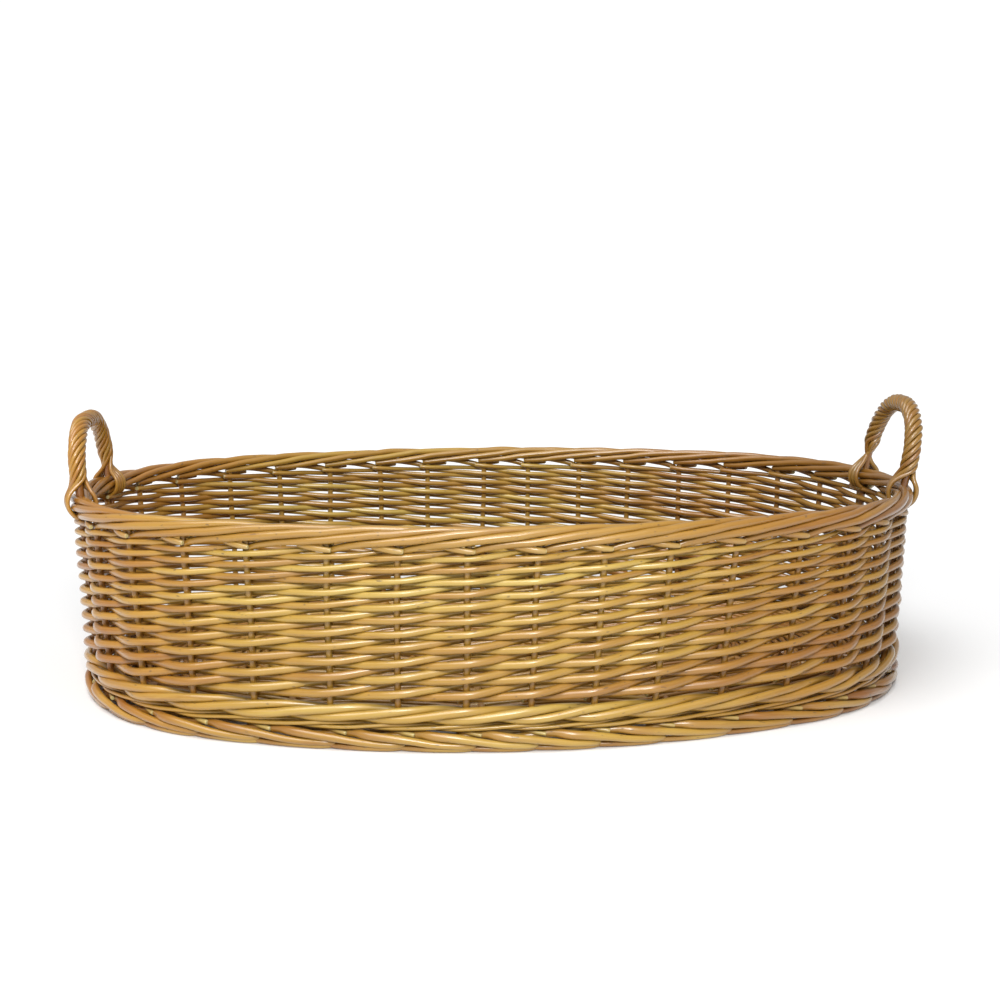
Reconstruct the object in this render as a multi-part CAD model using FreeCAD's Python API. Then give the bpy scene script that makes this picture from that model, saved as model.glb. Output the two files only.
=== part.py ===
"""Oval willow basket with two roped bow handles, every rod a solid of its own.

Frame: origin on the floor under the middle of the oval, +X along the long axis
towards the right handle, +Y towards the back, +Z up. Millimetres.
The plan is an oval of four tangent arcs, so that every offset of it is arcs too.
"""
import FreeCAD, Part
import math
import os

V = FreeCAD.Vector

# ---- plan of the rim, on the centre line of the side stakes
rim_half_length = 395.0
rim_half_width = 252.0
end_share = 0.853  # radius of the two round ends, as a share of the half width
wall_lean = 8.0  # how far the wall leans outwards between base and rim

# ---- rods
stake_count = 36  # a multiple of 12: rows alternate in twos, the wale repeats in threes
stake_diameter = 5.8
cross_stick_diameter = 8.0
long_stick_diameter = 5.4
wale_diameter = 7.0
foot_rod_diameter = 5.4
border_rod_diameter = 6.4
bow_diameter = 8.0
strand_diameter = 4.3
tie_diameter = 4.2

# ---- base, a woven mat on crossed sticks
base_middle_height = 14.0  # above the floor
mat_thickness = 9.0
mat_edge_radius = 3.0
cross_stick_count = 8
long_stick_count = 4  # two on each side of an empty middle place
long_stick_pitch = 7.0
stake_tongue = 48.0  # length of each stake that lies in the base
stake_bend = 6.0

# ---- side, from the bottom up
foot_height = 17.0
foot_rod_spaces = 2.0  # stake spaces that one foot rod runs under
foot_stand_out = 8.0  # lower end of a foot rod, outside the stakes
foot_set_back = 1.5  # its upper end lies this much further in
wale_rounds = 3
weave_start = 1.3  # the first row's lowest end clears the wale by this
weave_height = 125.0
row_count = 23  # odd, so that every weaver starts and ends inside
weaver_end_share = 1.2  # a weaver's end reaches this far past its last turning point
rim_gap = 5.0  # between the last row and the border
weave_bend = 38.0  # radius at which a weaver goes round a stake
weavers_in_node = 3

# ---- top border, each rod wound over the rim and down inside
border_rod_spaces = 4.0
border_turn = 65.0  # degrees that a rod winds in one stake space
border_start = -40.0  # degrees above level, outside, where a rod begins

# ---- bow handles
leg_depth = 90.0  # how far a bow leg is pushed down beside its stake
slype_step = 0.4  # the leg's shank is this much slimmer than the bow it grows into
handle_heights = {"left": 71.0, "right": 82.0}  # rim top to the top of the grip
handle_corner = 50.0  # radius of the bow's two shoulders
handle_leans = {"left": 3.0, "right": 10.0}  # how far the top of a bow leans outwards
strand_count = 7
strand_pitch = 58.0  # length of bow for one turn of a strand

# ---- how finely winding rods are drawn
foot_rod_steps = 8
border_rod_steps = 4  # in each stake space
strand_steps = 12  # in each turn
run_share = 0.98  # of a straight run that the arcs at its ends may take

# ---- clearances
gap = 0.1  # between rods that bear on each other
bow_clearance = 0.4  # between the bow and the strands wound round it
foot_gap = 0.3  # between foot, wale and weave

# ---- worked out from the above
end_radius = end_share * rim_half_width
stake_radius = stake_diameter / 2
border_rod_radius = border_rod_diameter / 2
wind_radius = (border_rod_diameter + 4 * gap) / (2 * math.sin(math.radians(border_turn / 2)))
border_radius = wind_radius + border_rod_radius
wale_base = foot_height + foot_gap
weave_base = wale_base + wale_rounds * (wale_diameter + gap) + weave_start
weave_top = weave_base + weave_height
rim_height = weave_top + rim_gap + border_radius  # centre of the border
rim_top = rim_height + border_radius
leg_pitch = stake_radius + bow_diameter / 2 + gap  # from a stake to the bow leg beside it
tie_radius = border_radius + 2 * gap + tie_diameter / 2
grip_radius = bow_diameter / 2 + bow_clearance + strand_diameter
strand_radius = grip_radius - strand_diameter / 2


class Oval:
    """Four tangent arcs, walked by arc length s from the +X tip, anticlockwise."""

    def __init__(self, half_length, half_width, end):
        reach = half_length - end
        side = (reach**2 + half_width**2 - end**2) / (2 * (half_width - end))
        drop = side - half_width
        turn = math.atan2(drop, reach)
        self.arcs = [
            (V(reach, 0, 0), end, 0, turn),
            (V(0, -drop, 0), side, turn, math.pi - turn),
            (V(-reach, 0, 0), end, math.pi - turn, math.pi + turn),
            (V(0, drop, 0), side, math.pi + turn, 2 * math.pi - turn),
            (V(reach, 0, 0), end, 2 * math.pi - turn, 2 * math.pi),
        ]
        self.length = sum(radius * (b - a) for _, radius, a, b in self.arcs)

    def spot(self, s):
        """Centre, radius and direction of the normal at s."""
        s %= self.length
        for centre, radius, a, b in self.arcs:
            if s <= radius * (b - a) + 1e-9:
                return centre, radius, a + s / radius
            s -= radius * (b - a)
        raise ValueError("s is past the end of the oval")

    def normal(self, s):
        angle = self.spot(s)[2]
        return V(math.cos(angle), math.sin(angle), 0)

    def tangent(self, s):
        angle = self.spot(s)[2]
        return V(-math.sin(angle), math.cos(angle), 0)

    def point(self, s, out=0.0, z=0.0):
        centre, radius, _ = self.spot(s)
        return centre + self.normal(s) * (radius + out) + V(0, 0, z)

    def face(self, out, z):
        edges = []
        for centre, radius, a, b in self.arcs:
            ends = [
                centre + V(math.cos(t), math.sin(t), 0) * (radius + out) + V(0, 0, z)
                for t in (a, (a + b) / 2, b)
            ]
            edges.append(Part.Arc(*ends).toShape())
        return Part.Face(Part.Wire(edges))


rim = Oval(rim_half_length, rim_half_width, end_radius)
space = rim.length / stake_count


def lean(z):
    """Distance of the stake line from the rim's, negative inwards."""
    return wall_lean * (z - rim_height) / (rim_height - base_middle_height)


# ---- rods


def arc_through(corner, before, after, radius, room):
    """Points where a round corner starts, is half way and ends."""
    back, ahead = before - corner, after - corner
    half = back.getAngle(ahead) / 2
    cut = min(radius / math.tan(half), room)
    radius = cut * math.tan(half)
    middle = V(back).normalize() + V(ahead).normalize()
    middle = corner + middle.normalize() * (radius / math.sin(half) - radius)
    return corner + V(back).normalize() * cut, middle, corner + V(ahead).normalize() * cut


def sweep(edges, start, direction, radius):
    section = Part.Wire(Part.Circle(start, direction, radius).toShape())
    return Part.Wire(edges).makePipe(Part.Face(section))


def rod(points, diameter, bend=1e6):
    """A round rod along straight runs that tangent arcs join. Two arcs share a run between them."""
    edges, here = [], points[0]
    shares = [run_share] + [run_share / 2] * (len(points) - 3) + [run_share]
    for n, (before, corner, after) in enumerate(zip(points, points[1:], points[2:])):
        if (corner - before).getAngle(after - corner) < 1e-4:
            continue
        room = min(shares[n] * (corner - before).Length, shares[n + 1] * (after - corner).Length)
        begin, middle, end = arc_through(corner, before, after, bend, room)
        edges.append(Part.LineSegment(here, begin).toShape())
        edges.append(Part.Arc(begin, middle, end).toShape())
        here = end
    edges.append(Part.LineSegment(here, points[-1]).toShape())
    return sweep(edges, points[0], points[1] - points[0], diameter / 2)


# ---- stakes, and the bow legs that stand beside four of them

beside_leg = {1: 1, stake_count - 1: -1, stake_count // 2 - 1: -1, stake_count // 2 + 1: 1}
leg_places = {
    "right": [space + leg_pitch, -space - leg_pitch],
    "left": [rim.length / 2 - space - leg_pitch, rim.length / 2 + space + leg_pitch],
}


def stake(i):
    s, low = i * space, lean(base_middle_height)
    points = [
        rim.point(s, low - stake_tongue, base_middle_height),
        rim.point(s, low, base_middle_height),
        rim.point(s, 0, rim_height),
    ]
    return rod(points, stake_diameter, stake_bend)


# ---- rods that weave in and out of the stakes


def turn_round(i, z, radius, side):
    """The circle that a rod follows round stake i: outside it if side is 1, inside if -1."""
    i %= stake_count
    off = stake_radius + radius + gap
    s = i * space
    if i in beside_leg:
        s += beside_leg[i] * leg_pitch / 2
        off += weave_bend - math.sqrt(weave_bend**2 - leg_pitch**2 / 4)
    return rim.point(s, lean(z) + side * (off - weave_bend), z), side * weave_bend


def heading(circle, following):
    """Direction in plan of the straight run that leaves one circle and meets the next."""
    run = following[0] - circle[0]
    bend = math.asin((following[1] - circle[1]) / math.hypot(run.x, run.y))
    return math.atan2(run.y, run.x) - bend


def on(circle, angle):
    """Where a run in that direction touches the circle."""
    return circle[0] - V(-math.sin(angle), math.cos(angle), 0) * circle[1]


def near(angle, other):
    """The same direction as angle, within half a turn of the other."""
    return other + (angle - other + math.pi) % (2 * math.pi) - math.pi


def wale_rod(k):
    """A closed ring on one level, in front of two stakes and behind the third."""
    z = wale_base + (k + 0.5) * (wale_diameter + gap)
    sides = [-1 if i % 3 == k % 3 else 1 for i in range(stake_count)]
    circles = [turn_round(i, z, wale_diameter / 2, side) for i, side in enumerate(sides)]
    runs = [heading(c, d) for c, d in zip(circles, circles[1:] + circles[:1])]
    edges = []
    for i, circle in enumerate(circles):
        arrive, leave = runs[i - 1], near(runs[i], runs[i - 1])
        turn = [on(circle, a) for a in (arrive, (arrive + leave) / 2, leave)]
        following = circles[(i + 1) % stake_count]
        edges.append(Part.Arc(*turn).toShape())
        edges.append(Part.LineSegment(turn[2], on(following, leave)).toShape())
    way = V(math.cos(runs[-1]), math.sin(runs[-1]), 0)
    return sweep(edges, on(circles[0], runs[-1]), way, wale_diameter / 2)


def weaver(j):
    """One rod of the side. It starts inside stake j, passes behind and in front of the
    stakes in turn, and climbs one row in each stake space, as do all its neighbours."""
    climb = weave_height / row_count
    diameter = climb * math.cos(math.atan(climb / space)) - 2 * gap
    circles = []
    for k in range(row_count):
        z = weave_base + (k + 0.5) * climb
        circles.append(turn_round(j + k, z, diameter / 2, 1 if k % 2 else -1))
    runs = [heading(c, d) for c, d in zip(circles, circles[1:])]
    points = []
    for n, circle in enumerate(circles[1:-1], 1):
        arrive, leave = runs[n - 1], near(runs[n], runs[n - 1])
        middle = (arrive + leave) / 2
        normal = V(-math.sin(middle), math.cos(middle), 0)
        points.append(circle[0] - normal * circle[1] / math.cos((leave - arrive) / 2))
    start = points[0] + (on(circles[0], runs[0]) - points[0]) * weaver_end_share
    end = points[-1] + (on(circles[-1], runs[-1]) - points[-1]) * weaver_end_share
    return rod([start] + points + [end], diameter, weave_bend)


# ---- foot and top border, one rod from every stake space


def foot_rod(i):
    high = foot_height - foot_rod_diameter / 2
    low = foot_rod_diameter / 2
    base = lean(base_middle_height) + foot_stand_out
    points = []
    for n in range(foot_rod_steps + 1):
        t = n / foot_rod_steps
        s = (i + 0.5 + t * foot_rod_spaces) * space
        points.append(rim.point(s, base - foot_set_back * (1 - t), high + t * (low - high)))
    return rod(points, foot_rod_diameter)


def border_rod(i):
    """Starts under the rim outside, winds over the top and ends inside."""
    steps = border_rod_steps * int(border_rod_spaces)
    points = []
    for n in range(steps + 1):
        spaces = n * border_rod_spaces / steps
        angle = math.radians(border_start + spaces * border_turn)
        out, up = wind_radius * math.cos(angle), wind_radius * math.sin(angle)
        points.append(rim.point((i + 0.5 + spaces) * space, out, rim_height + up))
    return rod(points, border_rod_diameter)


# ---- base


def base_sticks():
    mat_offset = lean(base_middle_height) - stake_radius - wale_diameter - 4 * gap
    edge = rim_half_length + mat_offset
    sticks = {}
    half_count = long_stick_count // 2
    bores = []
    for n in range(long_stick_count):
        y = long_stick_pitch * (n - half_count if n < half_count else n - half_count + 1)
        start = V(-edge + mat_thickness, y, base_middle_height)
        length = 2 * (edge - mat_thickness)
        stick = Part.makeCylinder(long_stick_diameter / 2, length, start, V(1, 0, 0))
        sticks[f"base_long_stick_{n + 1}"] = stick
        start = V(-edge, y, base_middle_height)
        bores.append(Part.makeCylinder(long_stick_diameter / 2 + gap, 2 * edge, start, V(1, 0, 0)))
    for n in range(cross_stick_count):
        place = rim.length / 4 + (n - (cross_stick_count - 1) / 2) * space
        end = rim.point(place, mat_offset - mat_thickness / 2, base_middle_height)
        stick = Part.makeCylinder(
            cross_stick_diameter / 2, 2 * end.y, V(end.x, -end.y, end.z), V(0, 1, 0)
        )
        sticks[f"base_cross_stick_{n + 1}"] = stick.cut(bores)
    return sticks, mat_offset


def base_mat(mat_offset, sticks):
    """The woven mat, with a channel for every stick and stake tongue in it."""
    low = base_middle_height - mat_thickness / 2
    mat = rim.face(mat_offset, low).extrude(V(0, 0, mat_thickness))
    rims = [e for e in mat.Edges if abs(e.BoundBox.ZLength) < 1e-6]
    mat = mat.makeFillet(mat_edge_radius, rims)
    tools = []
    for n in range(cross_stick_count):
        box = sticks[f"base_cross_stick_{n + 1}"].BoundBox
        tools.append(
            Part.makeCylinder(
                cross_stick_diameter / 2 + gap,
                box.YLength + 2 * gap,
                V(box.Center.x, box.YMin - gap, base_middle_height),
                V(0, 1, 0),
            )
        )
    for n in range(long_stick_count):
        box = sticks[f"base_long_stick_{n + 1}"].BoundBox
        tools.append(
            Part.makeCylinder(
                long_stick_diameter / 2 + gap,
                box.XLength + 2 * gap,
                V(box.XMin - gap, box.Center.y, base_middle_height),
                V(1, 0, 0),
            )
        )
    for i in range(stake_count):
        inner = rim.point(i * space, lean(base_middle_height) - stake_tongue - gap, base_middle_height)
        tools.append(
            Part.makeCylinder(stake_radius + gap, stake_tongue, inner, rim.normal(i * space))
        )
    return mat.cut(tools)


# ---- handles


def bow_line(side):
    """The bow's centre line above the rim, as corners, with its plane's normal."""
    feet = [rim.point(s, 0, rim_height) for s in leg_places[side]]
    out = V(math.copysign(1, feet[0].x), 0, 0)
    rise = rim_top + handle_heights[side] - grip_radius - rim_height
    up = (V(0, 0, rise) + out * handle_leans[side]).normalize()
    tops = [foot + up * rise for foot in feet]
    across = (feet[1] - feet[0]).normalize()
    return [feet[0], tops[0], tops[1], feet[1]], across.cross(up)


def leg(side, n, grow=0.0):
    """A slyped bow leg: a thin point beside the stake, swelling through the border."""
    s = leg_places[side][n]
    bottom = rim.point(s, lean(rim_height - leg_depth), rim_height - leg_depth)
    way = rim.point(s, 0, rim_height) - bottom
    neck = way.Length * (weave_top - bottom.z) / way.z
    thin, thick = stake_radius + grow, bow_diameter / 2 - slype_step + grow
    outline = [V(0, 0, 0), V(thin, 0, 0), V(thin, 0, neck)]
    outline += [V(thick, 0, way.Length), V(thick, 0, way.Length + thick), V(0, 0, way.Length + thick)]
    half = Part.Face(Part.makePolygon(outline + outline[:1]))
    shape = half.revolve(V(0, 0, 0), V(0, 0, 1), 360)
    shape.Placement = FreeCAD.Placement(bottom, FreeCAD.Rotation(V(0, 0, 1), way))
    return shape


def bow(side):
    corners, _ = bow_line(side)
    arch = rod(corners, bow_diameter, handle_corner)
    return arch.fuse([leg(side, 0), leg(side, 1)])


def leg_room(side):
    """The room that the two legs of a bow take up in the border."""
    corners, _ = bow_line(side)
    room = []
    for n, (foot, top) in enumerate((corners[:2], corners[:1:-1])):
        room.append(leg(side, n, gap))
        room.append(Part.makeCylinder(bow_diameter / 2 + gap, 2 * border_radius, foot, top - foot))
    return room


def along_bow(corners, normal, t):
    """Point and inward direction of the bow, t millimetres from its first foot."""
    feet, legs = corners[1] - corners[0], corners[2] - corners[1]
    straight, level = feet.Length - handle_corner, legs.Length - 2 * handle_corner
    curve = handle_corner * math.pi / 2
    up, across = V(feet).normalize(), V(legs).normalize()
    if t > straight + curve + level / 2:
        total = 2 * straight + 2 * curve + level
        point, inward = along_bow(corners[::-1], normal, total - t)
        return point, inward
    if t <= straight:
        return corners[0] + up * t, across
    if t <= straight + curve:
        turn = (t - straight) / handle_corner
        middle = corners[0] + up * straight + across * handle_corner
        inward = across * math.cos(turn) - up * math.sin(turn)
        return middle - inward * handle_corner, inward
    return corners[1] + across * (t - straight - curve + handle_corner), up * -1


def strands(side):
    """Rods wound round the bow from just above the border to the same on the other leg."""
    corners, normal = bow_line(side)
    leg, top = (corners[1] - corners[0]).Length, (corners[2] - corners[1]).Length
    total = 2 * leg + top - 4 * handle_corner + math.pi * handle_corner
    start = tie_radius + (tie_diameter + strand_diameter) / 2 + 2 * gap
    steps = int((total - 2 * start) / strand_pitch * strand_steps)
    wound = []
    for k in range(strand_count):
        points = []
        for n in range(steps + 1):
            t = start + (total - 2 * start) * n / steps
            middle, inward = along_bow(corners, normal, t)
            angle = 2 * math.pi * (k / strand_count + t / strand_pitch)
            off = inward * math.cos(angle) + normal * math.sin(angle)
            points.append(middle + off * strand_radius)
        wound.append(rod(points, strand_diameter))
    return Part.Compound(wound)


def ties(side):
    """Loops round the border, one on each side of each bow leg and its stake."""
    loops = []
    for s in leg_places[side]:
        stake_at = round(s / space) * space
        away = math.copysign(1, s - stake_at)
        past_leg = s + away * (bow_diameter / 2 + tie_diameter / 2 + 2 * gap)
        past_stake = stake_at - away * (stake_radius + tie_diameter / 2 + 2 * gap)
        for place in (past_leg, past_stake):
            loops.append(
                Part.makeTorus(
                    tie_radius, tie_diameter / 2, rim.point(place, 0, rim_height), rim.tangent(place)
                )
            )
    return Part.Compound(loops)


# ---- the assembly


def sides():
    """Stake numbers of each side, nine spaces or so each."""
    quarter = stake_count // 4
    half = quarter // 2
    names = ("right", "back", "left", "front")
    return {
        name: [(n * quarter - half + j) % stake_count for j in range(quarter)]
        for n, name in enumerate(names)
    }


def main():
    os.makedirs("parts", exist_ok=True)
    nodes, mat_offset = base_sticks()
    nodes["base_mat"] = base_mat(mat_offset, nodes)
    legs = leg_room("left") + leg_room("right")
    for name, numbers in sides().items():
        nodes[f"stakes_{name}"] = Part.Compound([stake(i) for i in numbers])
        nodes[f"foot_rods_{name}"] = Part.Compound([foot_rod(i) for i in numbers])
        rods = [border_rod(i).cut(legs) for i in numbers]
        nodes[f"border_rods_{name}"] = Part.Compound([solid for r in rods for solid in r.Solids])
    for k in range(wale_rounds):
        nodes[f"wale_rod_{k + 1}"] = wale_rod(k)
    for n in range(stake_count // weavers_in_node):
        group = [weaver(n * weavers_in_node + j) for j in range(weavers_in_node)]
        nodes[f"weavers_{n + 1:02d}"] = Part.Compound(group)
    for side in ("left", "right"):
        nodes[f"{side}_bow"] = bow(side)
        nodes[f"{side}_bow_strands"] = strands(side)
        nodes[f"{side}_handle_ties"] = ties(side)
    for name, shape in nodes.items():
        shape.exportStep(f"parts/{name}.step")
        print(name, len(shape.Solids), shape.isValid(), round(shape.Volume))
    print("rim height", rim_height, "top of rim", rim_top, "space", space)


main()
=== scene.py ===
# %% [markdown]
# # A willow basket, one rod at a time
# The real basket is made of nothing but willow rods, soaked, bent round each other and
# varnished when dry. So it is made here in the same way: one straight rod is modelled once,
# and every rod of the basket is a bent copy of it. The frame of fixed sizes comes first,
# and each piece takes its place from it.

# %% Load the frame
import math

import bmesh
import bpy
import numpy as np
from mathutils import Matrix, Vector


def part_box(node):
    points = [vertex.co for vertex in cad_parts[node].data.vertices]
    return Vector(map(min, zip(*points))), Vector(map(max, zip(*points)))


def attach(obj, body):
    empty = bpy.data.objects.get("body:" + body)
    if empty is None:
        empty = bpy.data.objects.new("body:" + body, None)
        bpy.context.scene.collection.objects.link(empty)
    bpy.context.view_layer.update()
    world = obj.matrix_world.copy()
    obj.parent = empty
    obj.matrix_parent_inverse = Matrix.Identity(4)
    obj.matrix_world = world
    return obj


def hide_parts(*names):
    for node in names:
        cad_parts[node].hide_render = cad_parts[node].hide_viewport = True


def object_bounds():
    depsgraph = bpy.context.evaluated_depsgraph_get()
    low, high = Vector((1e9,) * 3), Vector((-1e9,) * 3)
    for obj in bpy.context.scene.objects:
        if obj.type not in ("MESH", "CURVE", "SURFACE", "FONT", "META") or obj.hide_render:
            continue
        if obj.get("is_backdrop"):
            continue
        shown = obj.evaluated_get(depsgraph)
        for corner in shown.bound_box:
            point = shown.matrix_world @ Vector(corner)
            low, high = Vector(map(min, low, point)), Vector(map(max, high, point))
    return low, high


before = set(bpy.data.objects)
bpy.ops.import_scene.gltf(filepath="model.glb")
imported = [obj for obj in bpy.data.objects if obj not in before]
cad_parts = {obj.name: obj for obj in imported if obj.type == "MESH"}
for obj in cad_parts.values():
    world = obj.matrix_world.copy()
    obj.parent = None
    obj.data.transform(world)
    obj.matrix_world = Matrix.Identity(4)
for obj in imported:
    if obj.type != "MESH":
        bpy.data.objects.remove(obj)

mm = 0.001
cad_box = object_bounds()
chance = np.random.default_rng(11)

# %% [markdown]
# ## The plan of the wall
# The wall follows an oval of four arcs that meet smoothly. Walking along it by length
# makes it easy to say where a stake stands: so many stake spaces from the right tip. A
# stretched circle would be simpler, but its spacing would be uneven and its ends too sharp.

# %% The oval
stake_count = 36
stake_radius = 2.9 * mm
end_share = 0.853  # radius of the round ends, as a share of the half width
wall_lean = 8 * mm
half_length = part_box("stakes_right")[1].x - stake_radius
half_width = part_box("stakes_back")[1].y - stake_radius
rim_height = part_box("stakes_front")[1].z
base_height = (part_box("base_mat")[0].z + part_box("base_mat")[1].z) / 2


class Oval:
    """Four tangent arcs, walked by length s from the +X tip, anticlockwise."""

    def __init__(self, half_length, half_width, end):
        reach = half_length - end
        side = (reach**2 + half_width**2 - end**2) / (2 * (half_width - end))
        drop = side - half_width
        turn = math.atan2(drop, reach)
        self.centres = np.array([(reach, 0), (0, -drop), (-reach, 0), (0, drop), (reach, 0)])
        self.radii = np.array([end, side, end, side, end])
        self.starts = np.array([0, turn, math.pi - turn, math.pi + turn, 2 * math.pi - turn])
        spans = np.diff(np.append(self.starts, 2 * math.pi))
        self.marks = np.concatenate([[0], np.cumsum(self.radii * spans)])
        self.length = self.marks[-1]

    def place(self, s, out, z):
        s = np.asarray(s) % self.length
        arc = np.clip(np.searchsorted(self.marks, s, side="right") - 1, 0, 4)
        angle = self.starts[arc] + (s - self.marks[arc]) / self.radii[arc]
        reach = self.radii[arc] + out
        x = self.centres[arc, 0] + reach * np.cos(angle)
        y = self.centres[arc, 1] + reach * np.sin(angle)
        return np.stack([x, y, np.broadcast_to(z, x.shape)], -1)


rim = Oval(half_length, half_width, end_share * half_width)
space = rim.length / stake_count
print(f"rim {2 * half_length:.3f} by {2 * half_width:.3f} m, a stake every {space / mm:.1f} mm")

# %% [markdown]
# ## Hand-made spacing
# Nobody spaces stakes exactly. Each stake gets a small drift along the rim and a small
# sway, which is how far its top has slid sideways. Every rod is placed through the same
# function, so the weaving keeps in step with the stakes however they drift.

# %% Drift and sway of the stakes
drift = chance.normal(0, 0.035, stake_count + 1)
sway = chance.normal(0, 0.03, stake_count + 1)
drift[18:27] = [0, 0.03, 0.075, 0.09, 0.12, 0.12, 0.28, 0.27, 0.25]
drift[27:36] = [0.2, 0.13, 0.08, 0.11, 0.24, 0.24, 0.06, 0.02, 0]
sway[24:34] = [0.02, 0.03, 0.045, 0.1, 0.14, 0.2, 0.16, 0.1, 0.04, 0]
drift[[0, 1, 17, -1]] = 0
sway[-1] = sway[0]
stakes_at = np.arange(stake_count + 1)
middle_height = (base_height + rim_height) / 2
print(f"stakes stand up to {np.abs(drift).max() * space / mm:.0f} mm from an even spacing")


def lean(z):
    return wall_lean * (z - rim_height) / (rim_height - base_height)


def wall(u, out, z):
    """Points u stake spaces round the wall, out metres outside the stakes, z above the floor."""
    u, out, z = np.broadcast_arrays(*(np.asarray(v, float) for v in (u, out, z)))
    turn = u % stake_count
    slide = np.interp(turn, stakes_at, sway) * (z - middle_height) / (rim_height - base_height)
    s = (u + np.interp(turn, stakes_at, drift) + slide) * space
    return rim.place(s, lean(z) + out, z)


# %% [markdown]
# ## One straight rod
# A circle spun with no angle and a step upwards draws a straight tube, ring by ring, and
# its two holes are filled as the cut ends. The mesh is kept, and each real rod is a copy
# whose rings are carried to a path. Two attributes go with every point: where it was on
# the straight rod, so that the grain bends with the wood, and how the rod looks.

# %% The straight rod
straight_rods = {}


def straight_rod(rings, sides):
    if (rings, sides) in straight_rods:
        return straight_rods[rings, sides]
    bm = bmesh.new()
    bmesh.ops.create_circle(bm, cap_ends=False, radius=1, segments=sides)
    bmesh.ops.spin(
        bm,
        geom=bm.edges[:] + bm.verts[:],
        cent=(0, 0, 0),
        axis=(0, 0, 1),
        dvec=(0, 0, 1),
        angle=0,
        steps=rings - 1,
        use_duplicate=False,
    )
    cuts = bmesh.ops.holes_fill(bm, edges=[e for e in bm.edges if e.is_boundary], sides=0)
    bmesh.ops.recalc_face_normals(bm, faces=bm.faces)
    for face in bm.faces:
        face.smooth = True
    for face in cuts["faces"]:
        face.smooth = False
        for edge in face.edges:
            edge.smooth = False
    mesh = bpy.data.meshes.new("straight_rod")
    bm.to_mesh(mesh)
    bm.free()
    mesh.attributes.new("grain", "FLOAT_VECTOR", "POINT")
    mesh.attributes.new("look", "FLOAT_VECTOR", "POINT")
    corners = np.empty(len(mesh.vertices) * 3)
    mesh.vertices.foreach_get("co", corners)
    straight_rods[rings, sides] = (mesh, corners.reshape(-1, 3))
    return straight_rods[rings, sides]


# %% Paths that rods follow
def even(path, spacing):
    """The same path with its points evenly spaced."""
    steps = np.linalg.norm(np.diff(path, axis=0), axis=1)
    along = np.concatenate([[0], np.cumsum(steps)])
    count = max(4, round(along[-1] / spacing) + 1)
    wanted = np.linspace(0, along[-1], count)
    return np.stack([np.interp(wanted, along, path[:, n]) for n in range(path.shape[1])], 1)


def soft(corners, fineness=14):
    """A cubic curve that a few corners pull along, from the first to the last."""
    c = np.asarray(corners, float)
    c = np.vstack([2 * c[0] - c[1], c, 2 * c[-1] - c[-2]])
    t = np.linspace(0, 1, fineness, endpoint=False)[:, None]
    weights = [(1 - t) ** 3, 3 * t**3 - 6 * t**2 + 4, -3 * t**3 + 3 * t**2 + 3 * t + 1, t**3]
    runs = [sum(w * c[n + k] for k, w in enumerate(weights)) / 6 for n in range(len(c) - 3)]
    return np.vstack(runs + [c[-2:-1]])


def wander(count, size, waves):
    """A slow random wave along a rod, for wood that is never quite straight."""
    t = np.linspace(0, 1, count)
    total = np.zeros(count)
    for share in (1, 1.7, 2.9):
        total += np.sin(2 * math.pi * (waves * share * t + chance.random())) / share
    return size * total


def carried_frame(path):
    """Directions across the path, carried along it without twisting."""
    ahead = np.gradient(path, axis=0)
    ahead /= np.linalg.norm(ahead, axis=1)[:, None]
    first = np.cross(ahead[0], (0, 0, 1) if abs(ahead[0][2]) < 0.9 else (1, 0, 0))
    side = np.empty_like(ahead)
    for n, way in enumerate(ahead):
        first = first - way * first.dot(way)
        first = first / math.sqrt(first.dot(first))
        side[n] = first
    return side, np.cross(ahead, side)


# %% Bend a rod along its path
cut_length = 0.35  # of the radius, over which a cut end is rounded
cut_share = 0.78  # radius of the flat of a cut end
uneven = 0.018  # how much the thickness of a rod wavers


def add_rod(bm, path, radius, sides=10, tone=None, pale=0):
    """Adds one rod to bm. The radius may be several values, spread evenly along the rod.
    Pale is how much of the cut wood's colour shows at its far end."""
    count = len(path)
    at = np.linspace(0, 1, count)
    radius = np.interp(at, np.linspace(0, 1, np.size(radius)), np.ravel(radius))
    radius = radius * (1 + wander(count, uneven, count / 14))
    step = np.linalg.norm(path[1] - path[0])
    bevel = min(0.5, cut_length * radius[0] / step)
    last = count - 1
    stations = np.concatenate([[0, bevel], np.arange(1, last), [last - bevel, last]])
    mesh, straight = straight_rod(len(stations), sides)
    mesh = mesh.copy()
    ring = np.rint(straight[:, 2]).astype(int)
    numbers = np.arange(count)
    side, up = carried_frame(path)
    carry = [
        np.stack([np.interp(stations, numbers, v[:, n]) for n in range(3)], 1)
        for v in (path, side, up)
    ]
    thick = np.interp(stations, numbers, radius)
    thick[[0, -1]] *= cut_share
    middle, across, above = (v[ring] for v in carry)
    r = thick[ring][:, None]
    points = middle + r * (straight[:, :1] * across + straight[:, 1:2] * above)
    mesh.vertices.foreach_set("co", points.ravel())
    if tone is None:
        tone = chance.random()
    grain = np.empty_like(straight)
    grain[:, 0] = stations[ring] * step
    grain[:, 1:] = straight[:, :2] * r
    grain += chance.uniform(0, 20, 3)
    ends = np.isin(ring, (0, len(stations) - 1))
    fresh = np.maximum(ends, pale * (stations[ring] / last) ** 2)
    look = np.stack([np.full(len(ring), tone), stations[ring] / count, fresh], 1)
    mesh.attributes["grain"].data.foreach_set("vector", grain.ravel())
    mesh.attributes["look"].data.foreach_set("vector", look.ravel())
    bm.from_mesh(mesh)
    bpy.data.meshes.remove(mesh)


# %% [markdown]
# ## Shader maths
# A finish is easier to read as arithmetic than as a web of nodes. `Value` wraps a socket,
# and Python's own operators on it add the Math nodes. `Finish` owns a material and has one
# method that adds any other node.


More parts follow.
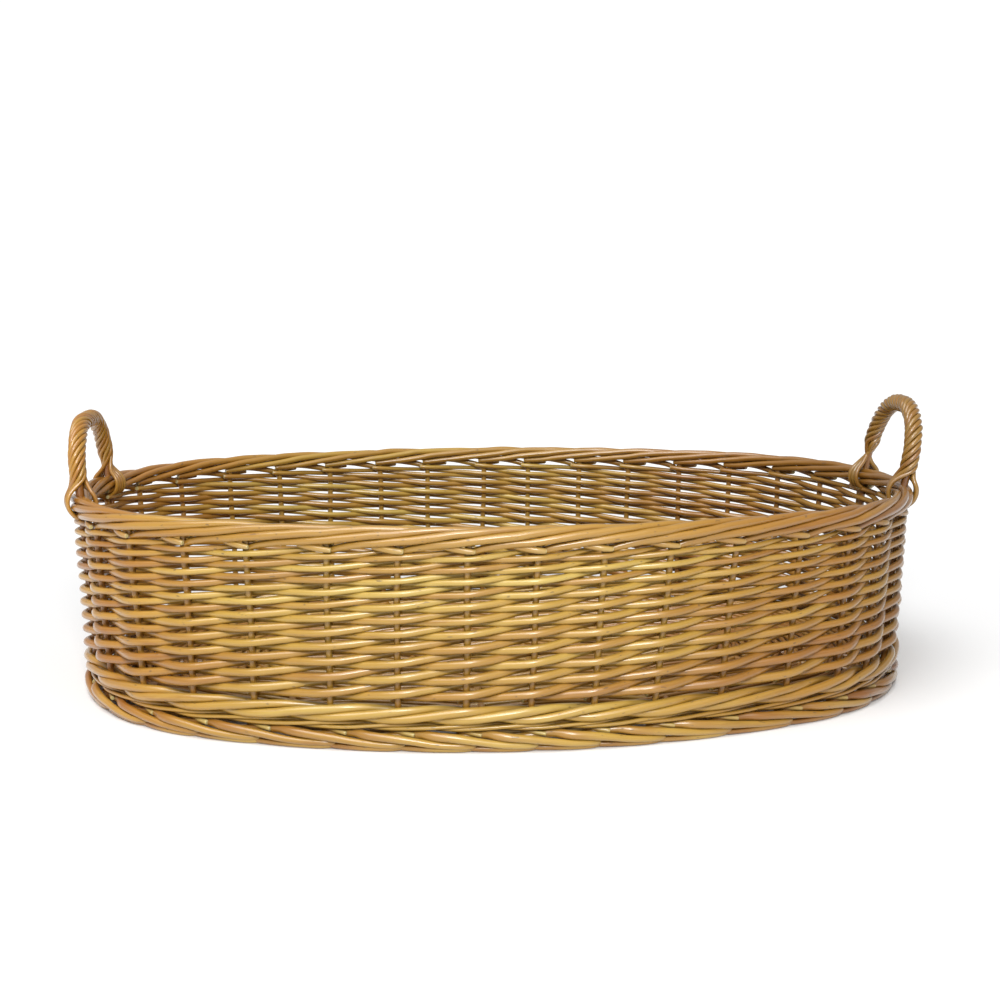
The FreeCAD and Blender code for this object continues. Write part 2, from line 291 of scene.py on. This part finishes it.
# %% Sockets as numbers
class Value:
    """A socket that can stand in an expression. Each operator adds a Math node."""

    def __init__(self, finish, socket):
        self.finish = finish
        self.socket = socket

    def maths(self, operation, *others):
        values = {n: v for n, v in enumerate((self, *others))}
        return self.finish.value("ShaderNodeMath", {"operation": operation}, values)

    def __add__(self, other):
        return self.maths("ADD", other)

    def __mul__(self, other):
        return self.maths("MULTIPLY", other)

    def __sub__(self, other):
        return self.maths("SUBTRACT", other)

    def __rsub__(self, other):
        return (self * -1) + other

    __radd__ = __add__
    __rmul__ = __mul__


# %% Nodes, and a finish made of them
class Nodes:
    def __init__(self, tree):
        self.nodes = tree.nodes
        self.links = tree.links

    def node(self, kind, settings=None, sockets=None):
        made = self.nodes.new(kind)
        for name, setting in (settings or {}).items():
            if name == "stops":
                ramp = made.color_ramp.elements
                while len(ramp) < len(setting):
                    ramp.new(1)
                for element, (position, colour) in zip(ramp, setting):
                    element.position = position
                    element.color = (*colour, 1)
            else:
                setattr(made, name, setting)
        self.connect(made, sockets or {})
        return made

    def connect(self, node, sockets):
        for name, value in sockets.items():
            if isinstance(value, Value):
                self.links.new(value.socket, node.inputs[name])
            else:
                node.inputs[name].default_value = value

    def value(self, kind, settings=None, sockets=None, output=0):
        return Value(self, self.node(kind, settings, sockets).outputs[output])

    def mix(self, amount, one, other, how="MIX"):
        settings = {"data_type": "RGBA", "blend_type": how, "clamp_factor": True}
        return self.value("ShaderNodeMix", settings, {0: amount, 6: one, 7: other}, 2)

    def noise(self, grain, scales, detail):
        multiply = {"operation": "MULTIPLY"}
        stretched = self.value("ShaderNodeVectorMath", multiply, {0: grain, 1: scales})
        sockets = {"Vector": stretched, "Scale": 1, "Detail": detail}
        return self.value("ShaderNodeTexNoise", {}, sockets)

    def between(self, value, low, high):
        sockets = {"Value": value, "From Min": low, "From Max": high}
        return self.value("ShaderNodeMapRange", {"interpolation_type": "SMOOTHSTEP"}, sockets)


class Finish(Nodes):
    """A material and its shader."""

    def __init__(self, name):
        self.material = bpy.data.materials.new(name)
        self.material.use_nodes = True
        super().__init__(self.material.node_tree)
        self.shader = self.nodes["Principled BSDF"]


# %% [markdown]
# ## Varnished willow
# A peeled rod is pale straw to honey brown. The colour changes from rod to rod and in long
# streaks along one rod, with darker specks where leaves grew. It is browner near the floor.
# Towards both handles it is darkened with painted shade, most over the right half and darkest
# at the right tip, where the wall turns away from the lamps. Under a clear coat the wood is
# only half matt, so the highlights are soft lines along each rod. The streaks read the grain
# attribute, so they follow every bend.


# %% The willow finish
def willow(name, stops, depth=0.0, low=0.4, knees=0.0, gloss=1.0, roughness=0.38):
    """Stops are colours from the palest rod to the darkest. Depth browns the whole piece,
    low browns it near the floor, and knees browns the first half of every rod."""
    f = Finish(name)
    grain = f.value("ShaderNodeAttribute", {"attribute_name": "grain"}, output=1)
    look = f.value("ShaderNodeAttribute", {"attribute_name": "look"}, output=1)
    parts = f.node("ShaderNodeSeparateXYZ", {}, {0: look})
    tone, along, cut = (Value(f, output) for output in parts.outputs)
    here = f.value("ShaderNodeTexCoord", output=3)
    place = f.node("ShaderNodeSeparateXYZ", {}, {0: here})
    x, z = Value(f, place.outputs[0]), Value(f, place.outputs[2])

    streaks = f.noise(grain, (45, 900, 900), 3)
    patches = f.noise(grain, (7, 70, 70), 2)
    specks = f.between(f.noise(grain, (160, 420, 420), 1), 0.69, 0.76)
    stains = f.between(f.noise(grain, (22, 160, 160), 3), 0.56, 0.74)

    shade = tone * 0.55 + patches * 0.75 + streaks * 0.35 - 0.4
    spread = [(n / (len(stops) - 1), colour) for n, colour in enumerate(stops)]
    colour = f.value("ShaderNodeValToRGB", {"stops": spread}, {0: shade})
    near_floor = f.between(z, 0.115, 0.0)
    # Painted shade: the left end, the right half and the right tip are darkened, where the wall
    # turns away from the lamps in front and to the left.
    left_end_painted_shade = f.between(x, -0.20, -0.38)
    right_side_painted_shade = f.between(x, 0.06, 0.26)
    right_tip_painted_shade = f.between(x, 0.27, 0.37)
    started = f.between(along, 0.62, 0.4)
    tints = [
        (near_floor * low, (0.72, 0.42, 0.20, 1)),
        (started * knees, (0.72, 0.50, 0.35, 1)),
        # painted shade at both ends and over the right half, darkest at the right tip
        (left_end_painted_shade, (1.0, 0.80, 0.60, 1)),
        (right_side_painted_shade, (0.80, 0.66, 0.45, 1)),
        (right_tip_painted_shade, (0.80, 0.80, 1.0, 1)),
        (depth, (0.60, 0.44, 0.30, 1)),
        (stains * 0.4, (0.60, 0.42, 0.26, 1)),
    ]
    for amount, tint in tints:
        colour = f.mix(amount, colour, tint, "MULTIPLY")
    colour = f.mix(specks * 0.6, colour, (0.10, 0.055, 0.02, 1))
    colour = f.mix(cut * 0.8, colour, (0.50, 0.45, 0.20, 1))
    rough = roughness + streaks * 0.12 + cut * 0.3
    height = streaks * 0.6 + specks * 0.4 + patches * 0.8
    sockets = {"Strength": 0.5, "Distance": 0.4 * mm, "Height": height}
    bump = f.value("ShaderNodeBump", {}, sockets)
    f.connect(f.shader, {"Base Color": colour, "Roughness": rough, "Normal": bump})
    f.connect(f.shader, {"Coat Weight": gloss, "Coat Roughness": 0.24, "Coat IOR": 1.45})
    return f.material


straw = (0.48, 0.345, 0.075)
gold = (0.40, 0.245, 0.033)
honey = (0.34, 0.178, 0.020)
tan = (0.26, 0.115, 0.014)
brown = (0.16, 0.065, 0.016)
olive = (0.33, 0.225, 0.045)
finishes = {
    "weaver": willow("weaver_willow", [straw, gold, honey, tan]),
    "stake": willow("stake_willow", [gold, honey, honey]),
    "wale": willow("wale_willow", [straw, gold, gold, honey], low=0.15),
    "foot": willow("foot_willow", [straw, gold, honey, tan], low=0.15, knees=0.6),
    "border": willow("border_willow", [gold, honey, honey, tan], low=0.0),
    "bow": willow("bow_willow", [olive, honey, tan, brown], depth=0.2),
    "handle_strand": willow("handle_willow", [olive, gold, honey, tan], depth=0.05),
    "base_stick": willow("base_stick_willow", [gold, honey, tan], depth=0.1),
    "base_weave": willow("base_weave_willow", [straw, gold, honey, tan], depth=0.1),
}
print("finishes", sorted(finishes))


# %% Turn a bmesh of rods into a piece
def finish_piece(bm, name, slot, *nodes):
    mesh = bpy.data.meshes.new(name)
    bm.to_mesh(mesh)
    bm.free()
    mesh.materials.append(finishes[slot])
    piece = bpy.data.objects.new(name, mesh)
    bpy.context.scene.collection.objects.link(piece)
    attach(piece, "root")
    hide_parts(*nodes)
    triangles = sum(len(p.vertices) - 2 for p in mesh.polygons)
    print(name, "replaces", len(nodes), "node(s) with", triangles, "triangles")
    return piece


# %% [markdown]
# ## Stakes
# The stakes are the uprights. On the real basket a stake is pushed into the edge of the
# base, bent sharply up and woven in, so its foot lies flat inside the mat. A soft curve
# pulled along by a few corners gives that bend without any arc being worked out.

# %% Stakes
tongue = 48 * mm
side_names = ("right", "back", "left", "front")
quarter = stake_count // 4
side_numbers = {
    name: [(n * quarter - quarter // 2 + j) % stake_count for j in range(quarter)]
    for n, name in enumerate(side_names)
}


def stake(bm, i):
    low = base_height
    heights = [low, low, low, low + 1 * mm, low + 6 * mm, low + 20 * mm]
    outs = [-tongue, -tongue / 2, -8 * mm, -1 * mm, 0, 0]
    rise = np.linspace(low + 45 * mm, rim_height - 4 * mm, 5)
    corners = wall(i, np.array(outs + [0] * 5), np.array(heights + list(rise)))
    path = even(soft(corners), 5 * mm)
    path[:, 0] += wander(len(path), 0.3 * mm, 1.5)
    add_rod(bm, path, stake_radius * chance.uniform(0.94, 1.05), 10)


def four_sides(piece_name, slot, node_name, *makers):
    """One piece for each side of the wall, with what every maker adds at each of its stakes."""
    for side, numbers in side_numbers.items():
        bm = bmesh.new()
        for i in numbers:
            for make in makers:
                make(bm, i)
        finish_piece(bm, piece_name.format(side), slot, node_name.format(side))


four_sides("stakes_{}_rods", "stake", "stakes_{}", stake)

# %% [markdown]
# ## Side weave
# One weaver starts inside every stake and goes behind one stake and in front of the next,
# climbing one row in each space. Thirty-six of them climb together, which is why the rows
# slope up to the right. Each is thick at its butt, so the rows are wider at the bottom.
# The in and out is a cosine, sharpened a little because the rod is stiff between stakes.

# %% Side weave
row_count = 23
pitch_taper = 0.22
weave_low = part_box("wale_rod_3")[1].z - 0.2 * mm
weave_high = rim_height - 9.2 * mm  # close under the border
last_row = row_count - 1
row_fill = 0.54  # radius as a share of the row height
row_pitch = (weave_high - weave_low) / (last_row + 2 * row_fill)
print(f"rows {row_pitch * (1 + pitch_taper) / mm:.1f} mm high at the bottom,", end=" ")
print(f"{row_pitch * (1 - pitch_taper) / mm:.1f} mm at the top")


def weaver(bm, j):
    u = np.linspace(-0.14, last_row + 0.16, 12 * last_row)
    pitch = row_pitch * (1 + pitch_taper * (1 - 2 * u / last_row))
    rise = row_pitch * (u + pitch_taper * (u - u**2 / last_row))
    z = weave_low + row_fill * row_pitch * (1 + pitch_taper) + rise
    radius = row_fill * pitch * chance.uniform(0.93, 1.04)
    swing = 0.94 * np.cos(math.pi * u) + 0.06 * np.cos(3 * math.pi * u)
    out = -(stake_radius + radius) * swing + wander(len(u), 0.25 * mm, 9)
    z = z + wander(len(u), 0.28 * mm, 11)
    path = even(wall(j + u, out, z), 4.6 * mm)
    add_rod(bm, path, radius, 12)


for n in range(12):
    bm = bmesh.new()
    for j in range(3 * n, 3 * n + 3):
        weaver(bm, j)
    finish_piece(bm, f"side_weave_{n + 1:02d}", "weaver", f"weavers_{n + 1:02d}")

# %% [markdown]
# ## Wale
# Below the weave run two rounds of waling, a rope-like band of three rods that each go in
# front of two stakes and behind one. The lower round is of thin rods and the upper of
# thick ones. Each rod is a closed wave: out past two stakes while it climbs, then in.

# %% Wale
wale_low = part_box("wale_rod_1")[0].z
wale_radii = (1.65 * mm, 3.6 * mm)


def wale_rod(bm, start, radius, height):
    u = np.linspace(start - 0.1, start + stake_count + 0.1, 12 * stake_count)
    turn = 2 * math.pi * (u - start) / 3
    swing = 1 / 3 - 1.075 * np.cos(turn) - 0.258 * np.cos(2 * turn)  # -1, then +1 twice
    out = (stake_radius + radius) * swing
    z = height - radius / math.sin(math.pi / 3) * np.sin(turn)
    out = out + wander(len(u), 0.2 * mm, 20)
    path = even(wall(u, out, z + wander(len(u), 0.25 * mm, 17)), 4.6 * mm)
    thickness = radius * (1 + 0.07 * np.sin(np.linspace(0, 9, 60) + start * 2))
    add_rod(bm, path, thickness, 12)


floor_of_round = wale_low
for number, (radius, node_names) in enumerate(
    zip(wale_radii, (["wale_rod_1"], ["wale_rod_2", "wale_rod_3"])), 1
):
    bm = bmesh.new()
    for start in range(3):
        wale_rod(bm, start, radius, floor_of_round + 2 * radius)
    finish_piece(bm, f"wale_round_{number}", "wale", *node_names)
    floor_of_round += 4 * radius

# %% [markdown]
# ## Foot
# The foot is a border turned upside down. In each space a thick rod starts under the wale
# with a knee, slopes down to the right for nearly two spaces and rolls in at its end. A
# thin rod under it runs along the floor, and the pale cut end of another peeps out by the
# wale. The knee and the rolled end matter: they make the dark gaps and the stepped edge.

# %% Foot
wale_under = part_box("wale_rod_1")[0].z / mm
knee_past_stake = 0.36  # stake spaces
foot_shape = [  # spaces past the knee, mm outside the stakes, mm from the floor
    (-0.95, -1.0, wale_under - 10.5),
    (-0.6, -1.0, wale_under - 8.0),
    (-0.3, -0.8, wale_under - 5.5),
    (-0.1, 0.4, wale_under - 4.0),
    (0.03, 2.9, wale_under - 3.6),
    (0.13, 6.3, wale_under - 3.6),
    (0.3, 8.4, wale_under - 4.0),
    (0.6, 8.9, 11.8),
    (0.9, 8.9, 9.2),
    (1.14, 8.8, 7.2),
    (1.35, 8.6, 6.2),
    (1.56, 8.0, 5.7),
    (1.66, 6.6, 5.3),
    (1.74, 4.0, 5.0),
]
low_shape = [  # spaces past the stake, mm outside the stakes, mm from the floor
    (-0.3, -1, 3.2),
    (-0.1, 2, 3.0),
    (0.1, 5, 2.8),
    (0.4, 6.6, 2.7),
    (0.75, 6.9, 2.6),
    (0.93, 6.6, 2.6),
    (1.02, 5.2, 2.6),
    (1.1, 3, 2.6),
]


def foot_rod(bm, i):
    shape = np.array(foot_shape)
    shape[:, 0] += chance.normal(0, 0.03)
    shape[4:, 1] += chance.normal(0, 0.35)
    path = soft(shape)
    path = wall(i + knee_past_stake + path[:, 0], path[:, 1] * mm, path[:, 2] * mm)
    path = even(path, 3.6 * mm)
    path[:, 2] += wander(len(path), 0.15 * mm, 2)
    widths = np.array([3.3, 3.5, 3.8, 4.0, 3.9, 3.7, 3.4, 3.1, 2.9, 2.8, 2.7])
    add_rod(bm, path, widths * mm * chance.uniform(0.94, 1.03), 12)


def low_rod(bm, i):
    """The rod that comes out from under the others and runs one space along the floor."""
    shape = np.array(low_shape)
    shape[:, 0] += i + chance.normal(0, 0.02)
    path = even(wall(*(soft(shape) * (1, mm, mm)).T), 3.6 * mm)
    add_rod(bm, path, np.array([2.3, 2.5, 2.55, 2.5]) * mm, 12)


def peeping_end(bm, i):
    """The pale cut end of a rod left sticking out between wale and foot."""
    u = i + knee_past_stake + np.array([-0.5, -0.28, -0.11]) + chance.normal(0, 0.02)
    out = np.array([-3, 2.2, 5.2]) * mm
    z = (wale_under - np.array([1.6, 2.6, 3.4])) * mm
    path = even(wall(u, out, z), 2 * mm)
    add_rod(bm, path, 2.1 * mm * chance.uniform(0.85, 1.1), 10, tone=0.1, pale=0.4)


four_sides("foot_{}", "foot", "foot_rods_{}", foot_rod, low_rod, peeping_end)

# %% [markdown]
# ## Border
# The border is what the stakes turn into: each bends over to the right, winds once round
# the rim over nearly five spaces and comes out under it, where it is cut off just past a
# stake. A helix round the rim's line with a run in is that rod, and a short rod of its own
# is the end that comes out. Four or five lie round the rim at any point, which makes its
# rolled look.

# %% Border
wind_radius = 6.33 * mm
wind_turn = math.radians(65)  # in one stake space
wind_start = math.radians(-55)  # from straight out
wind_spaces = 4.6


def border_rod(bm, i):
    spaces = np.linspace(0, wind_spaces, 19)
    angle = wind_start + spaces * wind_turn
    swell = wind_radius * (1 + chance.normal(0, 0.03))
    out, up = swell * np.cos(angle), swell * np.sin(angle)
    wound = np.stack([i + 0.5 + spaces, out, rim_height + up], 1)
    begin = np.array([(i, 0, -16), (i + 0.04, 0.4, -12), (i + 0.2, 2, -8.6)])
    begin = begin * (1, mm, mm) + (0, 0, rim_height)
    path = soft(np.vstack([begin, wound]), 10)
    path = even(wall(*path.T), 4 * mm)
    path[:, 2] += wander(len(path), 0.22 * mm, 4)
    widths = np.array([3.0, 3.3, 3.55, 3.45, 3.35, 3.2, 3.05, 2.9, 2.7])
    add_rod(bm, path, widths * mm * chance.uniform(0.95, 1.05), 12)


def border_tip(bm, i):
    """The cut end of a border rod, where it comes out under the border past a stake."""
    u = i + np.array([-0.34, -0.22, -0.11, -0.01, 0.07 + chance.uniform(-0.03, 0.04)])
    out = np.array([0.5, 3.2, 5.4, 6.5, 6.6]) * mm
    z = rim_height - np.array([7.4, 8.4, 9.2, 10.0, 10.4]) * mm
    path = even(wall(*soft(np.stack([u, out, z], 1)).T), 2.5 * mm)
    widths = np.array([2.5, 2.7, 2.7, 2.6, 2.1])
    add_rod(bm, path, widths * mm * chance.uniform(0.9, 1.1), 12, tone=0.3, pale=0.3)


four_sides("border_{}", "border", "border_rods_{}", border_rod, border_tip)

# %% [markdown]
# ## Base
# The base is an oval mat: thin rods go round and round, over and under eight thick cross
# sticks, and at the two ends over and under sticks that fan out. Each ring is an oval a
# little smaller than the last and in the opposite step, and its height is a wave that is
# up at one stick and down at the next.

# %% Base sticks
for number in range(1, 9):
    low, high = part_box(f"base_cross_stick_{number}")
    x = (low.x + high.x) / 2
    path = np.linspace((x, low.y, base_height), (x, high.y, base_height), 40)
    path[:, 0] += wander(40, 0.6 * mm, 1)
    bm = bmesh.new()
    add_rod(bm, path, np.array([3.4, 3.9, 4.0, 3.8, 3.3]) * mm, 12)
    finish_piece(bm, f"cross_stick_{number}", "base_stick", f"base_cross_stick_{number}")
for number in range(1, 5):
    low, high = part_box(f"base_long_stick_{number}")
    y = (low.y + high.y) / 2
    path = np.linspace((low.x, y, base_height), (high.x, y, base_height), 90)
    path[:, 1] += wander(90, 0.3 * mm, 2)
    bm = bmesh.new()
    add_rod(bm, path, np.array([2.3, 2.7, 2.7, 2.7, 2.3]) * mm, 10)
    finish_piece(bm, f"long_stick_{number}", "base_stick", f"base_long_stick_{number}")

# %% Base mat
mat_low, mat_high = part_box("base_mat")
mat_rod = 2.25 * mm
ring_count = 40
end_sticks = 7
cross_at = np.array(
    [sum(corner.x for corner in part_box(f"base_cross_stick_{n}")) / 2 for n in range(1, 9)]
)
inner_length = cross_at.max() + 13 * mm
inner_width = 18.5 * mm
outer_length = mat_high.x - mat_rod
outer_width = mat_high.y - mat_rod
stick_swing = 5.4 * mm
mat_end_share = 0.842  # radius of a ring's round ends, as a share of its half width
overlap = 4 * mm  # of the two ends of a ring


def mat_ring(bm, number):
    share = number / (ring_count - 1)
    length = inner_length + share * (outer_length - inner_length)
    width = inner_width + share * (outer_width - inner_width)
    ring = Oval(length, width, mat_end_share * width)
    s = np.linspace(0, ring.length, 4000)
    x, y, _ = ring.place(s, 0, 0).T
    back, front = s[y > 0], s[y < 0]
    first = np.interp(-cross_at[::-1], -x[y > 0], back)
    second = np.interp(cross_at, x[y < 0], front)
    fan = np.arange(1, end_sticks + 1) / (end_sticks + 1)
    left = first[-1] + (second[0] - first[-1]) * fan
    right = second[-1] + (ring.length + first[0] - second[-1]) * fan
    crossings = np.concatenate([first, left, second, right])
    crossings = np.append(crossings, first[0] + ring.length)
    count = round(ring.length / (5.5 * mm))
    walk = np.linspace(crossings[0] - overlap, crossings[-1] + overlap, count)
    step = np.interp(walk, crossings, np.arange(len(crossings)))
    height = stick_swing * np.cos(math.pi * (step + number))
    height = height + wander(len(walk), 0.25 * mm, 12)
    path = ring.place(walk, wander(len(walk), 0.25 * mm, 9), base_height + height)
    add_rod(bm, path, mat_rod * chance.uniform(0.93, 1.05), 7)


bm = bmesh.new()
for number in range(ring_count):
    mat_ring(bm, number)
for y in (-2.1 * mm, 2.1 * mm):
    x = np.linspace(-0.33, 0.33, 150)
    step = np.interp(x, cross_at, np.arange(len(cross_at)))
    height = stick_swing * np.cos(math.pi * step) * math.copysign(1, y)
    height[np.abs(x) > cross_at.max() + 30 * mm] = 0
    add_rod(bm, np.stack([x, np.full(150, y), base_height + height], 1), 1.9 * mm, 8)
for end in (0, stake_count / 2):
    for n in range(-3, 4):
        outer = rim.place((end + n) * space, lean(base_height) - 12 * mm, base_height)
        inner_x = math.copysign(inner_length + 4 * mm, outer[0])
        inner = np.array([inner_x, outer[1] * 0.12, base_height])
        add_rod(bm, even(np.linspace(inner, outer, 30), 6 * mm), stake_radius, 10)
finish_piece(bm, "woven_mat", "base_weave", "base_mat")

# %% [markdown]
# ## Handles
# Each handle is a bent core rod, the bow, pushed down into the wall at both ends. Rods are
# wound round it like the strands of a rope, and where they reach the border they part:
# half go over it outside and half inside, curl under and are tucked away. The left one is
# wound slackly from eight thin strands and looks smooth, and the right one more tightly
# from six thick ones. A strand is a helix round the bow's line that opens out at its ends
# and is led round the border by a few corners.

# %% The bow's line
rim_top = max(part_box(f"border_rods_{name}")[1].z for name in side_names)
border_radius = rim_top - rim_height
grips = {"left": 8.3 * mm, "right": 8.9 * mm}  # from the bow's line to the outside
leans = {"left": 5 * mm, "right": 16 * mm}  # how far the top leans outwards
bow_radii = {"left": 4.0 * mm, "right": 3.8 * mm}
leg_runs = {  # metres round the rim from the tip of the oval to each leg
    "left": {"front": space + 7 * mm, "back": space + 7 * mm},
    "right": {"front": space + 7 * mm, "back": space - 6 * mm},
}


def leg_of(side, end):
    """Stake spaces round the rim where a leg of the bow goes into the border."""
    tip = 0 if side == "right" else stake_count / 2
    way = -1 if (side == "right") == (end == "front") else 1
    return tip + way * leg_runs[side][end] / space


def bow_line(side):
    """The bow's centre line, from the front foot to the back one."""
    way = 1 if side == "right" else -1
    feet = [wall(leg_of(side, end), 0, rim_height) for end in ("front", "back")]
    grip = grips[side]
    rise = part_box(f"{side}_bow_strands")[1].z - grip - rim_height
    corner = 50 * mm
    middle = (feet[0][1] + feet[1][1]) / 2
    half = (feet[1][1] - feet[0][1]) / 2
    turn = np.linspace(0, math.pi / 2, 24)
    across = np.concatenate([[half, half], half - corner + corner * np.cos(turn)])
    up = np.concatenate([[-10 * mm, 0], rise - corner + corner * np.sin(turn)])
    across = np.concatenate([-across, across[::-1]])
    up = np.concatenate([up, up[::-1]])
    share = (across + half) / (2 * half)
    foot_x = feet[0][0] + share * (feet[1][0] - feet[0][0])
    x = foot_x + way * leans[side] * up / rise
    line = even(np.stack([x, middle + across, rim_height + up], 1), 2 * mm)
    return soft(line[::4], 4)


for side in ("left", "right"):
    line = bow_line(side)
    depth = np.linspace(-85 * mm, -12 * mm, 12)
    legs = [wall(leg_of(side, end), 0, rim_height + depth) for end in ("front", "back")]
    path = even(np.vstack([legs[0], line, legs[1][::-1]]), 4 * mm)
    bm = bmesh.new()
    taper = np.array([0.3, 0.65, 0.95, 1, 1, 1, 1, 1, 0.95, 0.65, 0.3])
    add_rod(bm, path, bow_radii[side] * taper, 12)
    finish_piece(bm, f"{side}_bow_rod", "bow", f"{side}_bow")

# %% Strands wound round the bow and led round the border
windings = {  # strands, length of one turn, radius of a strand
    "left": (8, 62 * mm, 2.15 * mm),
    "right": (6, 45 * mm, 2.55 * mm),
}
leave_heights = {"front": 13 * mm, "back": 21 * mm}  # above the border, where strands part
sorted_at = {"front": -8, "back": 16}  # mm along the bow from there, where sides are chosen
parting = {  # share of the shift, degrees up round the border, extra distance in mm
    "front": [(0.8, 60, 5.0), (1.0, 36, 3.2)],
    "back": [(0.75, 74, 3.0), (1.0, 42, 2.6)],
}
curl_under = [  # in the same terms
    (1.1, 8, 1.8),
    (1.1, -28, 0.8),
    (1.05, -62, 0.4),
    (1.0, -95, 0.4),
    (0.9, -125, 1.0),
]


def fan_end(side, end, away):
    """Corners that lead a strand from the bow, round the border and under it."""
    outside, shift, radius = away
    u = leg_of(side, end)
    reach = border_radius + radius
    way = 1 if outside else -1
    corners = []
    for share, degrees, extra in parting[end] + curl_under:
        angle = math.radians(degrees)
        rho = reach + extra * mm
        out = way * rho * math.cos(angle)
        corners.append(wall(u + shift * share / space, out, rim_height + rho * math.sin(angle)))
    return corners


def wind_strands(side):
    count, turn_length, radius = windings[side]
    line = even(bow_line(side), 1 * mm)
    ahead = np.gradient(line, axis=0)
    ahead /= np.linalg.norm(ahead, axis=1)[:, None]
    flat = np.cross(line[-1] - line[0], line[len(line) // 2] - line[0])
    flat /= np.linalg.norm(flat)
    inward = np.cross(flat, ahead)
    along = np.arange(len(line)) * 1 * mm
    first = np.flatnonzero(line[:, 2] > rim_top + leave_heights["front"])[0]
    last = np.flatnonzero(line[:, 2] > rim_top + leave_heights["back"])[-1]
    bm = bmesh.new()
    strands = []
    for k in range(count):
        angle = 2 * math.pi * (along / turn_length + k / count)
        wide = (bow_radii[side] + radius) * (1 + wander(len(line), 0.03, 2))
        helix = line + wide[:, None] * (
            np.cos(angle)[:, None] * inward + np.sin(angle)[:, None] * np.cross(ahead, inward)
        )
        strands.append(helix)
    fans = {}
    for end, at in (("front", first), ("back", last)):
        u = leg_of(side, end)
        centre = wall(u, 0, rim_height)
        normal = wall(u, 1, rim_height) - centre
        tangent = np.cross((0, 0, 1), normal)
        past = at + sorted_at[end]
        places = []
        for k, helix in enumerate(strands):
            off = helix[past] - line[past]
            places.append((off.dot(normal), off.dot(tangent), k))
        places.sort()
        half = count // 2
        for outside, group in ((False, places[:half]), (True, places[half:])):
            group = sorted(group, key=lambda row: row[1])
            for n, (_, _, k) in enumerate(group):
                shift = (n - (len(group) - 1) / 2) * (2 * radius + 0.5 * mm)
                fans[end, k] = (outside, shift, radius)
    for k, helix in enumerate(strands):
        body = helix[first : last + 1 : 4]
        front = fan_end(side, "front", fans["front", k])
        back = fan_end(side, "back", fans["back", k])
        corners = np.vstack([front[::-1], body, back])
        path = even(soft(corners, 5), 2.6 * mm)
        add_rod(bm, path, np.array([2.0, 2.2, 2.5, 2.5, 2.5, 2.2, 2.0]) / 2.5 * radius, 10)
    finish_piece(bm, f"{side}_rope", "handle_strand", f"{side}_bow_strands", f"{side}_handle_ties")


for side in ("left", "right"):
    wind_strands(side)

# %% [markdown]
# ## Floor, light and camera
# The basket stands on a pale floor. Its colour is greyer round the basket, a painted shadow,
# and it pales further off until it meets the white sky without a horizon. The sky lights it
# from all round, as a light tent does. A wide soft sun overhead and one lamp in front put the
# long highlights on the rods. The camera is nearly level, a little above the rim, so that the
# inside of the far wall shows over the near rim.

# %% Floor
bm = bmesh.new()
bmesh.ops.create_grid(bm, x_segments=1, y_segments=1, size=6)
floor_mesh = bpy.data.meshes.new("floor")
bm.to_mesh(floor_mesh)
bm.free()
floor = bpy.data.objects.new("floor", floor_mesh)
bpy.context.scene.collection.objects.link(floor)
paper = Finish("floor_paper")
spot = paper.value("ShaderNodeTexCoord", output=3)
away = paper.value("ShaderNodeVectorMath", {"operation": "LENGTH"}, {0: spot}, 1)
# Painted shadow: the floor is grey within half a metre of the middle and pales to white by 1.6 m,
# so no horizon shows.
painted_shadow_grey = (0.75, 0.75, 0.75, 1)
far_white = (0.98, 0.98, 0.98, 1)
white = paper.mix(paper.between(away, 0.5, 1.6), painted_shadow_grey, far_white)
paper.connect(paper.shader, {"Base Color": white, "Roughness": 0.9})
floor_mesh.materials.append(paper.material)
floor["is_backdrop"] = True
print("floor", len(floor_mesh.polygons), "face")

# %% Light
world = bpy.data.worlds.new("light_tent")
bpy.context.scene.world = world
world.use_nodes = True
tent = Nodes(world.node_tree)
seen = tent.value("ShaderNodeLightPath")
sky_light = 0.47
sky_seen = 1.05  # brightness of the sky to the camera alone
sky = tent.nodes["Background"]
strength = seen * (sky_seen - sky_light) + sky_light
tent.connect(sky, {"Color": (1, 1, 1, 1), "Strength": strength})


def lamp(kind, name, place, aim, power):
    data = bpy.data.lights.new(name, kind)
    data.energy = power
    held = bpy.data.objects.new(name, data)
    bpy.context.scene.collection.objects.link(held)
    way = np.array(aim) - np.array(place)
    held.location = place
    tilt = math.atan2(math.hypot(way[0], way[1]), -way[2])
    held.rotation_euler = (tilt, 0, math.atan2(-way[0], way[1]))
    print("lamp", name, "of", power)
    return data


overhead = lamp("SUN", "overhead", (-0.5, -0.7, 1.6), (0, 0, 0), 2.4)
overhead.angle = math.radians(45)
key = lamp("AREA", "key", (-0.1, -1.8, 1.25), (0, 0, 0.12), 27)
key.shape = "RECTANGLE"
key.size = 0.45
key.size_y = 0.3

# %% Camera
yaw = 0.0816  # to the right, in radians
pitch = 0.1639  # down, in radians
distance = 1.3016
camera_height = 0.3835
offset = 3.63 * mm  # to the right of the basket's middle
reach = 1.34  # focal length over the sensor's width
camera_data = bpy.data.cameras.new("camera")
camera_data.sensor_width = 36
camera_data.lens = reach * camera_data.sensor_width
camera = bpy.data.objects.new("camera", camera_data)
bpy.context.scene.collection.objects.link(camera)
camera.location = (
    offset * math.cos(yaw) - distance * math.sin(yaw),
    -offset * math.sin(yaw) - distance * math.cos(yaw),
    camera_height,
)
camera.rotation_euler = (math.pi / 2 - pitch, 0, -yaw)
bpy.context.scene.camera = camera
bpy.context.scene.view_settings.view_transform = "Standard"
print("camera at", [round(v, 3) for v in camera.location])

# %% Sizes, and the end
visual_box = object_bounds()
sizes = {"cad": [list(v) for v in cad_box], "visual": [list(v) for v in visual_box]}
for name, box in sizes.items():
    print(name, [[round(v, 4) for v in corner] for corner in box])
